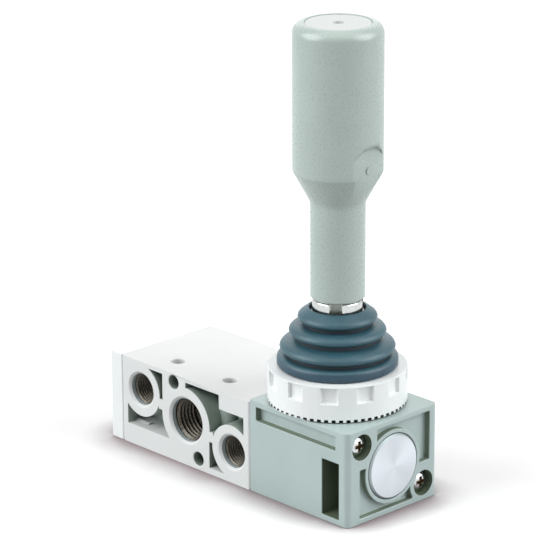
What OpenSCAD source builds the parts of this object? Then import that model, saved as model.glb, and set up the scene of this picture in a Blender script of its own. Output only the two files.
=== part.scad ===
// Lever-operated five-port spool valve, in millimetres.
// Origin on the base under the lever's axis, +X towards the housing's free end,
// -Y the face with the supply and exhaust ports, +Z up.

/* [Valve block] */
// Width of the valve block, its end cap and the lever housing
block_w = 36; // [34:0.5:42]
// Height of the valve block
block_h = 27.1; // [26.8:0.1:32]
// Length of the valve block between its end faces
block_l = 54.8; // [54.6:0.2:64]
// Height of the spool's axis above the base
spool_z = 13.85; // [13.4:0.05:14.4]
// Depth of the moulded pockets in the front and back faces
pocket_depth = 8; // [4:0.5:8.5]
// Wall left between a pocket and the top of the block
pocket_wall = 1.4; // [1:0.1:2.5]
// Half height of the pockets beside the exhaust ports
pocket_half = 7.6; // [7:0.1:8]
// Length of the flush plate beside the joint with the housing
plate_l = 12.6; // [11.8:0.2:13.4]
// Rounding of the block's upright edges
block_round = 0.8; // [0.4:0.1:1.5]

/* [Ports] */
// Radius over the thread of the supply port and the two outlets
wide_port_r = 6.58; // [5.5:0.01:6.8]
// Radius over the thread of the two exhaust ports
slim_port_r = 4.86; // [4:0.01:5.2]
// Depth and width of the countersink at the mouth of every port
port_sink = 0.72; // [0.4:0.02:0.9]
// Depth of every threaded port
port_depth = 9; // [7:0.25:9.5]
// Distance from the supply port to the block's joint with the housing
supply_from_joint = 26.9; // [26.6:0.1:28]
// Distance between neighbouring ports of the front face, along the block
port_pitch = 19.5; // [19:0.1:20]
// Height by which one exhaust port is raised and the other lowered
port_rise = 4.3; // [3:0.1:4.6]
// Radius of the passage from a wide port to the spool
wide_passage_r = 3.6; // [2.5:0.1:3.8]
// Radius of the passage from an exhaust port to the spool
slim_passage_r = 2.6; // [2:0.1:2.8]

/* [Mounting holes] */
// Radius of the through holes for mounting screws
mount_hole_r = 2.15; // [1.7:0.05:2.25]
// Chamfer at both mouths of a mounting hole
mount_chamfer = 0.2; // [0.1:0.05:0.3]
// Distance of a cross hole from the supply port, along the block
cross_dx = 5.2; // [4.8:0.1:5.4]
// Distance of a cross hole above or below the supply port
cross_dz = 10.5; // [10:0.1:10.7]
// Distance between the two upright holes
upright_pitch = 22.3; // [22:0.1:23]
// Distance of the upright holes from the block's middle plane
upright_y = 9.85; // [9.7:0.05:11]

/* [End cap] */
// Thickness of the end cap
cap_t = 5.2; // [4.4:0.1:8]
// Sideways distance of the end cap's screws from the middle plane
cap_screw_y = 14.2; // [13.8:0.1:14.4]
// Height of the end cap's lower screw; the upper one is as far below the top
cap_screw_z = 3.8; // [3.6:0.1:4]
// Radius of the end cap's screws
cap_screw_r = 1.5; // [1.2:0.05:1.6]
// Radius of the end cap's screw heads
cap_head_r = 2.75; // [2.4:0.05:2.8]

/* [Spool] */
// Radius of the spool's lands
spool_r = 4.5; // [4:0.05:4.6]
// Radius of the bore that holds the spacers and seals
stack_r = 6.8; // [6.5:0.05:6.9]
// Running clearance between the spool and its seals
spool_clear = 0.04; // [0.02:0.01:0.08]
// Width of one spool seal
seal_w = 1.8; // [1.4:0.1:2.4]
// Radius of the spool's waists
waist_r = 3.1; // [2.5:0.1:3.6]
// Overlap of a land on a seal when the valve is shut
shut_overlap = 0.4; // [0.3:0.05:0.8]
// Radius of the spool's spring flange and of the matching flange on the guide screw
flange_r = 6.1; // [5.6:0.1:6.3]
// Thickness of the spring flanges
flange_t = 0.9; // [0.7:0.1:1.1]

/* [Housing] */
// Height of the lever housing
house_h = 28; // [27.6:0.1:32]
// Distance from the lever's axis to the housing's free end
house_front = 22; // [21.8:0.1:26]
// Distance from the lever's axis to the joint with the valve block
house_back = 17.4; // [17.2:0.1:20]
// Rounding of the free end's upright edges
house_round = 1.8; // [1:0.1:2.4]
// Depth of the hollows in the free end and of the long grooves
hollow_depth = 1.9; // [1:0.1:2.4]
// Sideways distance of the housing's screws from the middle plane
fix_y = 12.35; // [12.2:0.05:12.6]
// Height of the housing's upper screw
fix_top_z = 22.9; // [22.7:0.1:23.2]
// Height of the housing's lower screw
fix_low_z = 5.3; // [5:0.1:5.6]
// Radius of the housing's screws
fix_r = 2; // [1.6:0.05:2.05]
// Radius of the housing's screw heads
fix_head_r = 2.8; // [2.6:0.05:3.4]
// Radius of the counterbores for the housing's screw heads
fix_bore_r = 3.8; // [3.6:0.05:4]
// Depth of the counterbores for the housing's screw heads
fix_bore_depth = 3.2; // [2.8:0.1:3.6]
// Radius of the two spring chambers
chamber_r = 6.9; // [6.6:0.05:7]
// Half length of the space that the lever's finger swings in
well_x = 7.3; // [7.1:0.1:7.5]
// Thickness of the wall between the finger's space and a spring chamber
bulkhead_t = 1.2; // [0.9:0.1:1.3]

/* [End plug] */
// Radius of the end plug's face
plug_r = 9.5; // [8.8:0.05:9.8]
// Height of the end plug's face above the housing's free end
plug_proud = 0.4; // [0:0.1:1]
// Thickness of the end plug's head
plug_head_t = 3; // [2.5:0.1:3.4]
// Bevel around the end plug's face
plug_edge = 0.5; // [0.1:0.1:1]
// Width of the raised ring around the end plug
plug_rim = 1.4; // [1:0.05:2]

/* [Lever pivot] */
// Height of the lever's pivot
pivot_z = 24; // [23.6:0.1:24.4]
// Tilt of the lever to each side, in degrees
lever_tilt = 15; // [10:0.5:15]
// Radius of the pivot pin
pin_r = 2; // [1.5:0.05:2.1]
// Running clearance between the pivot pin and its bushes
pin_clear = 0.04; // [0.02:0.01:0.08]
// Wall of the pivot bushes
bush_wall = 0.9; // [0.6:0.1:1.1]
// Half width of the lever hub between the holder's ears
hub_half = 5.6; // [5:0.1:5.8]
// Radius of the hub around the pivot
hub_r = 5; // [4.4:0.1:5.2]
// Radius of the hub's socket for the lever rod
socket_r = 6.3; // [5.6:0.1:6.4]
// Radius of the ball at the end of the hub's finger
ball_r = 2.4; // [2:0.05:2.5]
// Clearance between the ball and the spool's yoke
ball_clear = 0.1; // [0.05:0.01:0.2]
// Thickness of the pivot holder's ears
ear_t = 2.4; // [1.8:0.1:2.5]

/* [Ring nut] */
// Wall of the ring nut around the neck's thread
ring_wall = 4.15; // [3.6:0.05:5.2]
// Height of the ring nut
ring_h = 10.4; // [10:0.1:12]
// Gap between the ring nut and the housing
ring_gap = 0.3; // [0.1:0.05:0.4]
// Radius of the housing's threaded neck
neck_r = 15.6; // [15:0.1:16]
// Height of the housing's threaded neck
neck_h = 8; // [7.6:0.1:8.2]
// Number of grip windows around the ring nut
windows = 12; // [8:1:14]
// Depth of a grip window
window_depth = 1.2; // [0.8:0.1:1.8]
// Width of a grip window
window_w = 4.8; // [3.5:0.1:5.2]
// Height of a grip window
window_h = 4.6; // [3:0.1:6]
// Rim left above the grip windows
window_rim = 0.4; // [0.3:0.1:1.5]
// Direction of the first grip window about the lever, in degrees
window_turn = -51.6; // [-60:0.2:-30]
// Number of small notches around the ring nut's lower edge
notches = 60; // [40:2:64]

/* [Bellows] */
// Radius of the bellows' top fold
fold_top_r = 11.3; // [10.6:0.1:12]
// Radius of the bellows' second fold
fold_2_r = 13.8; // [13:0.1:14.2]
// Radius of the bellows' third fold
fold_3_r = 16.4; // [15.6:0.1:16.8]
// Radius of the bellows' lowest fold
fold_low_r = 17.2; // [16.7:0.1:17.4]
// Distance between the folds
fold_pitch = 4.3; // [4:0.1:4.6]
// Wall of the bellows
bellows_wall = 1.3; // [0.9:0.1:1.5]

/* [Lever] */
// Height of the grip's lower end above the base
grip_z = 58.7; // [57.5:0.1:64]
// Radius of the grip's stem
stem_r = 7.72; // [7:0.02:8.2]
// Length of the grip's stem
stem_l = 28; // [24:0.5:40]
// Radius of the grip's barrel
barrel_r = 12.66; // [11.5:0.02:14]
// Length of the cone between stem and barrel
cone_l = 8.95; // [7:0.05:12]
// Length of the grip's barrel with its rounded top
barrel_l = 41.8; // [36:0.1:60]
// Radius of the barrel's rounded top edge
crown_r = 3; // [2:0.1:3.2]
// Wall of the barrel
barrel_wall = 2.2; // [1.6:0.1:3]
// Radius of the lever rod
rod_r = 4; // [3:0.05:4.1]
// Radius of the slotted lock nut
nut_r = 7.3; // [6.9:0.05:7.6]
// Thickness of the lock nut
nut_t = 4; // [3:0.1:5]
// Number of spanner slots around the lock nut
nut_slots = 4; // [3:1:6]
// Width of a spanner slot
nut_slot_w = 3.5; // [2.4:0.1:4]
// Depth of a spanner slot
nut_slot_depth = 1.1; // [0.6:0.1:1.4]
// Direction of the first spanner slot about the lever, in degrees
nut_turn = -43.7; // [-60:0.1:-20]
// Radius of the spot face low on the barrel
spot_r = 6.8; // [4:0.1:7]
// Height of the spot face's centre above the cone
spot_rise = 1.9; // [0:0.1:4]
// Distance of the spot face from the lever's axis
spot_reach = 11.2; // [10.8:0.05:12]
// Direction of the spot face about the lever, in degrees
spot_turn = 3; // [-20:1:20]

/* [Hidden] */
$fn = 48;

cut = 1;          // how far a cutting shape runs past the surface it cuts
slip = 0.03;      // clearance between fixed pieces that slide together
fit = 0.05;       // clearance of a threaded joint

half_w = block_w / 2;
joint_x = -house_back;
far_x = joint_x - block_l;
supply_x = joint_x - supply_from_joint;
half_pitch = port_pitch / 2;
upright_mid = supply_x - 0.8;               // middle between the two upright holes
well_rim = pivot_z + 3;                     // floor of the neck's counterbore
holder_r = neck_r - 2.6;                    // counterbore inside the neck
arm = pivot_z - spool_z;
stroke = arm * lever_tilt * PI / 180;
ring_z = house_h + ring_gap;
ring_r = neck_r + fit + ring_wall;
ring_top = ring_z + ring_h;
neck_top = house_h + neck_h;

// Draws its children with +Z turned to +X
module to_x() rotate([0, 90, 0]) children();
// Draws its children with +Z turned to +Y
module to_y() rotate([-90, 0, 0]) children();

// Round bar along X
module bar_x(x0, x1, r, y = 0, z = spool_z)
    translate([x0, y, z]) to_x() cylinder(r = r, h = x1 - x0);

// Round bar along Y
module bar_y(y0, y1, r, x, z)
    translate([x, y0, z]) to_y() cylinder(r = r, h = y1 - y0);

// Ring along X
module ring_x(x0, x1, outer, inner, y = 0, z = spool_z)
    difference() {
        bar_x(x0, x1, outer, y, z);
        bar_x(x0 - cut, x1 + cut, inner, y, z);
    }

// Rectangle with one rounding at its low-x corners and one at its high-x corners
module soft_plate(x0, x1, half, low_r, high_r) {
    translate([x0 + low_r, -half]) square([x1 - x0 - low_r - high_r, 2 * half]);
    translate([x0, -half + low_r]) square([low_r + cut, 2 * (half - low_r)]);
    translate([x1 - high_r - cut, -half + high_r]) square([high_r + cut, 2 * (half - high_r)]);
    for (s = [-1, 1]) {
        translate([x0 + low_r, s * (half - low_r)]) circle(low_r);
        translate([x1 - high_r, s * (half - high_r)]) circle(high_r);
    }
}

// O-ring lying square to X
module o_ring_x(x, r, thick)
    translate([x, 0, spool_z]) to_x() rotate_extrude() translate([r, 0]) circle(d = thick);

// Pan head screw along X with a cross recess; turn 0 puts its head at the high-x end
module screw_x(seat, tip, r, head_r, head_h, y, z, turn = 0) {
    length = abs(seat - tip);
    slot = head_r * 0.36;
    translate([seat, y, z]) rotate([0, 0, turn]) difference() {
        union() {
            bar_x(-length, 0, r, 0, 0);
            bar_x(0, head_h - head_r * 0.22, head_r, 0, 0);
            translate([head_h - head_r * 0.22, 0, 0]) to_x()
                cylinder(r1 = head_r, r2 = head_r * 0.74, h = head_r * 0.22);
        }
        for (a = [0, 90])
            translate([head_h - head_r * 0.5, 0, 0]) rotate([a, 0, 0])
                translate([0, -head_r * 0.62, -slot / 2]) cube([head_r, head_r * 1.24, slot]);
    }
}

// Places of the ports and holes of the valve block
wide_back = [supply_x - half_pitch, supply_x + half_pitch];
slim_front = [[supply_x - port_pitch, spool_z + port_rise], [supply_x + port_pitch, spool_z - port_rise]];
cross_holes = [[supply_x - cross_dx, spool_z + cross_dz], [supply_x + cross_dx, spool_z - cross_dz]];
upright_holes = [upright_mid - upright_pitch / 2, upright_mid + upright_pitch / 2];
fix_spots = [[-fix_y, fix_top_z], [fix_y, fix_low_z]];
cap_spots = [[-cap_screw_y, cap_screw_z], [cap_screw_y, block_h - cap_screw_z]];

tip_gap = 0.6;            // space beyond the tip of a screw
cap_head_h = 1.9;         // height of the end cap's screw heads
fix_head_h = 2.3;         // height of the housing's screw heads
fix_bite = 8;             // length of the housing screws' threads in the block
cap_bite = 7;             // length of the cap screws' threads in the block
wide_boss = 10.2;         // radius of the boss around the supply port
back_boss = 9.2;          // radius of the boss around each outlet
slim_boss = 8.2;          // radius of the boss around an exhaust port
hole_boss = 4.5;          // radius of the boss around a cross hole
web = 1.6;                // half height of the web between two port bosses
side_wall = 2.4;          // wall between a pocket and an end face

// Threaded port, seen along the direction in which it is drilled
module port_hole(r) {
    translate([0, 0, -cut]) cylinder(r = r + port_sink, h = cut);
    cylinder(r1 = r + port_sink, r2 = r, h = port_sink);
    cylinder(r = r, h = port_depth);
    translate([0, 0, port_depth]) cylinder(r1 = r, r2 = r * 0.55, h = r * 0.2);
}

// Through hole with a chamfer at both mouths, along +Z from 0 to l
module mount_hole(l) {
    wide = mount_hole_r + mount_chamfer;
    translate([0, 0, -cut]) cylinder(r = mount_hole_r, h = l + 2 * cut);
    for (end = [0, 1])
        translate([0, 0, end * l]) mirror([0, 0, end]) {
            translate([0, 0, -cut]) cylinder(r = wide, h = cut);
            cylinder(r1 = wide, r2 = mount_hole_r, h = mount_chamfer);
        }
}

// Rectangle between two corners
module box_2d(x0, x1, y0, y1) translate([x0, y0]) square([x1 - x0, y1 - y0]);

// Circles of the front bosses, as they stand in the X-Z plane
module front_bosses() {
    translate([supply_x, spool_z]) circle(wide_boss);
    for (p = slim_front) translate(p) circle(slim_boss);
    for (p = cross_holes) translate(p) circle(hole_boss);
    for (s = [-1, 1])
        translate([supply_x + s * half_pitch, spool_z - s * port_rise / 2]) box_2d(-2, 2, -web, web);
}

pocket_low = spool_z - pocket_half;           // lower edge of the pocket at the far end
pocket_high = spool_z + pocket_half;          // upper edge of the pocket below the plate
pocket_top = block_h - pocket_wall;
plate_x = joint_x - plate_l;                  // near end of the flush plate beside the joint
corner_l = 18;                                // length of a corner pocket before the bosses cut it
narrow_in = 10;                               // sides of a narrow pocket, from the supply port
narrow_out = 16.4;
narrow_gap = 2.4;                             // its distance from the spool's height

// Outline of the front pockets in the X-Z plane; the plate beside the joint stays flush
module front_pockets() {
    difference() {
        union() {
            box_2d(far_x + side_wall, far_x + side_wall + corner_l, pocket_low, spool_z + port_rise / 3);
            box_2d(joint_x - side_wall - corner_l, joint_x - side_wall, spool_z - port_rise / 3,
                   pocket_high);
            translate([supply_x, spool_z]) for (a = [0, 180]) rotate(a)
                box_2d(-narrow_out, -narrow_in, narrow_gap, pocket_top - spool_z);
            box_2d(supply_x, plate_x, pocket_high, pocket_top);
        }
        front_bosses();
    }
}

back_wall = 4.4;                              // wall between a back pocket and an end face
back_foot = 2.2;                              // wall below the back pockets
rib_half = 1;                                 // half thickness of the ribs between them

// Outline of the back pockets in the X-Z plane
module back_pockets() {
    difference() {
        box_2d(far_x + back_wall, joint_x - back_wall, back_foot, pocket_top);
        for (x = wide_back) translate([x, spool_z]) circle(back_boss);
        for (p = cross_holes) translate(p) circle(hole_boss);
        box_2d(far_x, joint_x, spool_z - web, spool_z + web);
        for (x = [wide_back[0], supply_x, wide_back[1]]) box_2d(x - rib_half, x + rib_half, 0, block_h);
    }
}

// Walls that run through the pockets around holes behind them
module pocket_columns() {
    wall = 1.3;
    for (x = upright_holes) translate([x, -upright_y, 0]) cylinder(r = mount_hole_r + wall, h = block_h);
    for (p = fix_spots) bar_x(joint_x - fix_bite - wall, joint_x, fix_r + wall, p[0], p[1]);
    for (p = cap_spots) bar_x(far_x, far_x + cap_bite + wall, cap_screw_r + wall, p[0], p[1]);
}

// Draws a shape of the X-Z plane as a slab from y0 to y1
module slab_y(y0, y1)
    translate([0, y1, 0]) rotate([90, 0, 0]) linear_extrude(y1 - y0) children();

module valve_block() {
    color("whitesmoke") difference() {
        linear_extrude(block_h) soft_plate(far_x, joint_x, half_w, block_round, block_round);
        difference() {
            slab_y(-half_w - cut, -half_w + pocket_depth) front_pockets();
            pocket_columns();
        }
        difference() {
            slab_y(half_w - 0.75 * pocket_depth, half_w + cut) back_pockets();
            pocket_columns();
        }
        bar_x(far_x - cut, joint_x + cut, stack_r);
        translate([supply_x, -half_w, spool_z]) to_y() port_hole(wide_port_r);
        bar_y(-half_w + port_depth, 0, wide_passage_r, supply_x, spool_z);
        for (p = slim_front) {
            translate([p[0], -half_w, p[1]]) to_y() port_hole(slim_port_r);
            bar_y(-half_w + port_depth, -stack_r / 2, slim_passage_r, p[0], p[1]);
        }
        for (x = wide_back) {
            translate([x, half_w, spool_z]) rotate([90, 0, 0]) port_hole(wide_port_r);
            bar_y(0, half_w - port_depth, wide_passage_r, x, spool_z);
        }
        for (p = cross_holes) translate([p[0], -half_w, p[1]]) to_y() mount_hole(block_w);
        for (x = upright_holes) translate([x, -upright_y, 0]) mount_hole(block_h);
        for (p = fix_spots) bar_x(joint_x - fix_bite, joint_x + cut, fix_r, p[0], p[1]);
        for (p = cap_spots) bar_x(far_x - cut, far_x + cap_bite, cap_screw_r, p[0], p[1]);
    }
}

// Seats of the seals along the spool
seal_at = [for (i = [-2.5:1:2.5]) supply_x + i * half_pitch];
first_seal = seal_at[0] - seal_w / 2;
last_seal = seal_at[5] + seal_w / 2;
bore_inner = spool_r + 0.5;      // inner radius of the spacers, clear of the spool
cap_recess = 2.9;                // depth of the end cap's recess for the spool's end
cap_seat = 2.2;                  // depth of the end cap's counterbores
cap_x = far_x - cap_t;
cap_ring_r = 9.2;                // radius of the end cap's seal
ring_thick = 1.6;                // thickness of the seals between housing, block and cap
seal_groove = ring_thick - 0.1;  // depth of their grooves

// Groove for the seal at either end of the block
module seal_slot(x0, x1) ring_x(x0, x1, cap_ring_r + ring_thick / 2, cap_ring_r - ring_thick / 2);

module end_cap() {
    color("whitesmoke") difference() {
        union() {
            difference() {
                linear_extrude(block_h) soft_plate(cap_x, far_x, half_w, block_round, block_round / 2);
                seal_slot(far_x - seal_groove, far_x + cut);
            }
            bar_x(far_x - cut, first_seal, stack_r - slip);
        }
        bar_x(far_x - cap_recess, first_seal + cut, bore_inner);
        for (p = cap_spots) {
            bar_x(cap_x - cut, far_x + cut, cap_screw_r + 0.15, p[0], p[1]);
            bar_x(cap_x - cut, cap_x + cap_seat, cap_head_r + 0.25, p[0], p[1]);
        }
    }
}

module end_cap_seal()
    color("dimgray") o_ring_x(far_x - seal_groove / 2, cap_ring_r, seal_groove);

module end_cap_screws()
    color("silver") for (p = cap_spots)
        screw_x(cap_x + cap_seat, far_x + cap_bite - tip_gap, cap_screw_r - slip, cap_head_r, cap_head_h,
                p[0], p[1], 180);

// One spacer cage with six windows for the air
module spacer(x0, x1) {
    reach = stack_r + cut;
    difference() {
        ring_x(x0, x1, stack_r - slip, bore_inner);
        for (a = [0:60:120]) translate([(x0 + x1) / 2, 0, spool_z]) rotate([a, 0, 0])
            translate([0, 0, -reach]) cylinder(r = slim_passage_r * 0.75, h = 2 * reach);
    }
}

module spool_spacers()
    color("burlywood") for (i = [0:4]) spacer(seal_at[i] + seal_w / 2, seal_at[i + 1] - seal_w / 2);

// One seal: a rubber ring whose lip runs on the spool
module spool_seal(x) {
    lip = seal_w * 0.3;
    inner = spool_r + spool_clear;
    translate([x, 0, spool_z]) to_x() rotate_extrude() polygon([
        [inner, -lip], [bore_inner + 0.3, -seal_w / 2], [stack_r - slip, -seal_w / 2],
        [stack_r - slip, seal_w / 2], [bore_inner + 0.3, seal_w / 2], [inner, lip]]);
}

module spool_seals()
    color("black") for (x = seal_at) spool_seal(x);

module seal_retainer()
    color("silver") ring_x(last_seal, joint_x, stack_r - slip, bore_inner);

// Parts of the housing
holder_t = 3.2;                               // thickness of the pivot holder's plate
circlip_t = 1.2;                              // thickness of the circlip above it
circlip_bite = 0.4;                           // reach of the circlip into its groove
chamber_in = well_x + bulkhead_t;
plug_in = house_front - plug_head_t;          // back of the plug's head
plug_tip = house_front - 4.6;                 // end of the plug's spigot
plug_slot_r = plug_r + 0.2;
rim_r = plug_r + plug_rim;
spot_boss = fix_bore_r + 1.4;                 // radius of the flush boss around a counterbore
window_x = [11.9, 18.5];                      // ends of the deep window in each side
window_z = [-12.15, 4.55];                    // its heights on the front side, from the spool
groove_x = [-14.6, 17.1];                     // ends of the long groove in each side
groove_z = [8.35, 12.35];                     // its heights on the front side, from the spool
stem_hole = 3.3;                              // radius of the bulkheads' holes
hollow_edge = 1.6;                            // wall above and below the free end's hollows
hollow_mid = 4.9;                             // distance of both hollows from the spool's height
high_sides = [-6.2, half_w - 3.2];            // sides of the upper hollow
low_sides = [4.9 - half_w, 8];                // sides of the lower hollow
high_foot = spool_z - 2;                      // where the upper hollow ends beside the plug
low_head = spool_z + 2.2;                     // where the lower hollow ends beside the plug
upper_well = [7.6, hub_half + ear_t + 1.2];   // half sizes of the space around the holder's ears
lower_y = 6;                                  // half width of the finger's space
well_floor = 5;
ledge_z = pivot_z - hub_r + 0.4;              // where the upper space begins

// One box of the hollows in the free end
module end_hollow(y0, y1, z0, z1)
    translate([house_front - hollow_depth, y0, z0]) cube([hollow_depth + cut, y1 - y0, z1 - z0]);

module end_hollows() {
    difference() {
        union() {
            end_hollow(high_sides[0], high_sides[1], spool_z + hollow_mid, house_h - hollow_edge);
            end_hollow(rim_r / 2, high_sides[1], high_foot, spool_z + hollow_mid + cut);
            end_hollow(low_sides[0], low_sides[1], hollow_edge, spool_z - hollow_mid);
            end_hollow(low_sides[0], -rim_r / 2, spool_z - hollow_mid - cut, low_head);
        }
        bar_x(0, house_front + 2 * cut, rim_r);
        for (p = fix_spots) bar_x(0, house_front + 2 * cut, spot_boss, p[0], p[1]);
    }
}

// Hollows in both sides; the back ones are turned about the spool, clear of the lower screw
module side_hollows() {
    translate([0, 0, spool_z]) for (a = [0, 180]) rotate([a, 0, 0]) {
        translate([groove_x[0], -half_w - cut, groove_z[0]])
            cube([groove_x[1] - groove_x[0], cut + hollow_depth, groove_z[1] - groove_z[0]]);
        translate([window_x[0], -half_w - cut, window_z[0]])
            cube([window_x[1] - window_x[0], cut + half_w - chamber_r - 1.9, window_z[1] - window_z[0]]);
    }
}

module lever_housing() {
    color("darkseagreen") difference() {
        union() {
            linear_extrude(house_h) soft_plate(joint_x, house_front, half_w, block_round, house_round);
            translate([0, 0, house_h - cut]) cylinder(r = neck_r, h = neck_h + cut);
        }
        end_hollows();
        side_hollows();
        translate([0, 0, well_rim]) cylinder(r = holder_r, h = house_h + neck_h);
        translate([0, 0, well_rim + holder_t])
            cylinder(r = holder_r + circlip_bite + 0.1, h = circlip_t + 2 * slip);
        translate([-upper_well[0], -upper_well[1], ledge_z])
            cube([2 * upper_well[0], 2 * upper_well[1], well_rim - ledge_z + cut]);
        translate([-well_x, -lower_y, well_floor])
            cube([2 * well_x, 2 * lower_y, ledge_z - well_floor + cut]);
        bar_x(joint_x - cut, house_front, stem_hole);
        bar_x(joint_x - cut, -chamber_in, chamber_r);
        bar_x(chamber_in, house_front, chamber_r);
        bar_x(plug_in, house_front + cut, plug_slot_r);
        seal_slot(joint_x - cut, joint_x + seal_groove);
        for (p = fix_spots) {
            bar_x(joint_x - cut, house_front, fix_r + 0.15, p[0], p[1]);
            bar_x(house_front - fix_bore_depth, house_front + cut, fix_bore_r, p[0], p[1]);
        }
    }
}

module housing_seal()
    color("dimgray") o_ring_x(joint_x + seal_groove / 2, cap_ring_r, seal_groove);

module housing_screws()
    color("silver") for (p = fix_spots)
        screw_x(house_front - fix_bore_depth, joint_x - fix_bite + tip_gap, fix_r - slip, fix_head_r,
                fix_head_h, p[0], p[1]);

plug_groove = [plug_tip + 0.35, plug_tip + 1.45];
plug_waist = chamber_r - 1.1;
plug_face = house_front + plug_proud;

module end_plug() {
    color("gainsboro") difference() {
        union() {
            bar_x(plug_in, plug_face - plug_edge, plug_r);
            translate([plug_face - plug_edge, 0, spool_z]) to_x()
                cylinder(r1 = plug_r, r2 = plug_r - plug_edge, h = plug_edge);
            bar_x(plug_tip, plug_in + cut, chamber_r - slip);
        }
        ring_x(plug_groove[0], plug_groove[1], chamber_r + cut, plug_waist);
    }
}

module end_plug_seal() {
    thick = plug_groove[1] - plug_groove[0] - 0.04;
    color("black") o_ring_x((plug_groove[0] + plug_groove[1]) / 2, plug_waist + thick / 2 + 0.02, thick);
}

// Holder of the pivot pin: a round plate with two ears
ear_in = hub_half + 0.95;
ear_half = 4.4;
ear_drop = pin_r + 1.8;                       // reach of the ears below the pivot
holder_slot = [8.6, ear_in];

module pivot_holder() {
    color("slategray") difference() {
        union() {
            translate([0, 0, well_rim]) cylinder(r = holder_r - slip, h = holder_t);
            for (s = [-1, 1])
                translate([-ear_half, s * (ear_in + ear_t / 2) - ear_t / 2, pivot_z - ear_drop])
                    cube([2 * ear_half, ear_t, well_rim - pivot_z + ear_drop + cut]);
        }
        translate([-holder_slot[0], -holder_slot[1], well_rim - cut])
            cube([2 * holder_slot[0], 2 * holder_slot[1], holder_t + 2 * cut]);
        bar_y(-block_w, block_w, pin_r + slip, 0, pivot_z);
    }
}

module holder_circlip() {
    color("dimgray") translate([0, 0, well_rim + holder_t + slip]) linear_extrude(circlip_t) difference() {
        circle(holder_r + circlip_bite);
        circle(holder_r - 2);
        rotate(-35) square(holder_r * 2);
    }
}

module pivot_pin()
    color("silver") bar_y(-ear_in - ear_t + 0.1, ear_in + ear_t - 0.1, pin_r, 0, pivot_z);

// Ring nut with grip windows above and small notches below
lip_t = 1.4;
lip_r = neck_r - 0.4;
bead_t = ring_top - lip_t - neck_top;
bead_r = neck_r + 0.7;
window_z0 = ring_top - window_rim - window_h;
notch_w = 1;                                  // width of a small notch
notch_h = 0.7;                                // height of a small notch
notch_depth = 1.6;                            // depth of a small notch

module ring_nut() {
    band = 360 / windows;
    color("white") difference() {
        translate([0, 0, ring_z]) cylinder(r = ring_r, h = ring_h);
        translate([0, 0, ring_z - cut]) cylinder(r = neck_r + fit, h = neck_top - ring_z + cut);
        translate([0, 0, neck_top - cut]) cylinder(r = bead_r + 0.2, h = bead_t + cut);
        translate([0, 0, neck_top]) cylinder(r = lip_r, h = ring_h);
        for (i = [0:windows - 1])
            rotate(i * band + window_turn) translate([ring_r - window_depth, -window_w / 2, window_z0])
                cube([window_depth + cut, window_w, window_h]);
        for (i = [0:notches - 1])
            rotate(i * 360 / notches) translate([ring_r - notch_depth, -notch_w / 2, ring_z - cut])
                cube([notch_depth + cut, notch_w, notch_h + cut]);
    }
}

// Bellows: stepped folds, outline drawn in the r-z plane from the bead up to the cup
cup_z = grip_z - nut_t - 0.2;                 // floor of the cup around the lock nut
fold_z = cup_z - 1.1;                         // middle height of the top fold
fold_r = 1.9;                                 // rounding of a fold's rim
fold_list = [fold_top_r, fold_2_r, fold_3_r, fold_low_r];
cup_r = nut_r + 0.55;
cup_lip = 2.3;                                // rise of the cup's rim over the top fold's middle
floor_t = 1.5;                                // floor of the cup below the washer
washer_t = 1;
lip_hole = rod_r + 0.25;
skirt_r = lip_r - 0.3;

function rim(i) = fold_list[i];
function level(i) = fold_z - i * fold_pitch;
// Quarter arc over the shoulder of fold i, from the top round to the side
function shoulder(i, n = 6) = [for (k = [n:-1:0]) let (a = k * 90 / n)
    [rim(i) - fold_r + fold_r * cos(a), level(i) + 0.4 + fold_r * sin(a)]];
// Tuck under fold i
function tuck(i) = [[rim(i) - 0.2, level(i) - 1], [rim(i) - 1.2, level(i) - 1.7],
                    [rim(i) - 2.1, level(i) - 1.75]];
function fold(i) = concat(shoulder(i), tuck(i));

module bellows() {
    floor_z = cup_z - washer_t;
    flange_z = ring_top - lip_t - 0.05;
    seat_r = holder_r + 0.2;
    wall = [bellows_wall + 1.6, bellows_wall + 1.8];
    outside = concat(
        [[cup_r, floor_z], [cup_r, level(0) + cup_lip]], fold(0), fold(1), fold(2), shoulder(3),
        [[rim(3), ring_top + 0.3], [skirt_r, ring_top + 0.3], [skirt_r, flange_z], [bead_r, flange_z],
         [bead_r, neck_top], [seat_r, neck_top]]);
    inside = [[seat_r, level(2) + 0.2], [rim(1) - wall[1], level(2) + 1.2],
              [rim(1) - wall[1], level(1) + 0.4], [rim(0) - wall[0], level(1) + 1.2],
              [rim(0) - wall[0], floor_z - floor_t], [lip_hole, floor_z - floor_t], [lip_hole, floor_z]];
    color("darkslategray") rotate_extrude($fn = 64) polygon(concat(outside, inside));
}

// Coil spring along X between two flats, as a swept round wire
spring_r = 5.1;
wire = 0.6;
spring_turns = 3;
spring_sides = 8;
spring_steps = 22;

function spring_pt(x0, x1, t) = let (a = t * 360 * spring_turns)
    [x0 + wire / 2 + 0.05 + t * (x1 - x0 - wire - 0.1), spring_r * cos(a), spool_z + spring_r * sin(a)];

module coil_spring(x0, x1) {
    n = spring_turns * spring_steps;
    pts = [for (i = [0:n]) let (c = spring_pt(x0, x1, i / n), a = i / n * 360 * spring_turns)
        for (k = [0:spring_sides - 1]) let (b = k * 360 / spring_sides)
            c + wire / 2 * [sin(b), cos(b) * cos(a), cos(b) * sin(a)]];
    sides = [for (i = [0:n - 1]) for (k = [0:spring_sides - 1])
        let (j = (k + 1) % spring_sides, m = i * spring_sides)
        [m + k, m + j, m + j + spring_sides, m + k + spring_sides]];
    polyhedron(pts, concat(sides, [[for (k = [spring_sides - 1:-1:0]) k],
                                   [for (k = [0:spring_sides - 1]) n * spring_sides + k]]));
}

spring_seat = chamber_in + stroke + 0.3 + flange_t;   // outer side of a spring flange at rest

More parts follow.
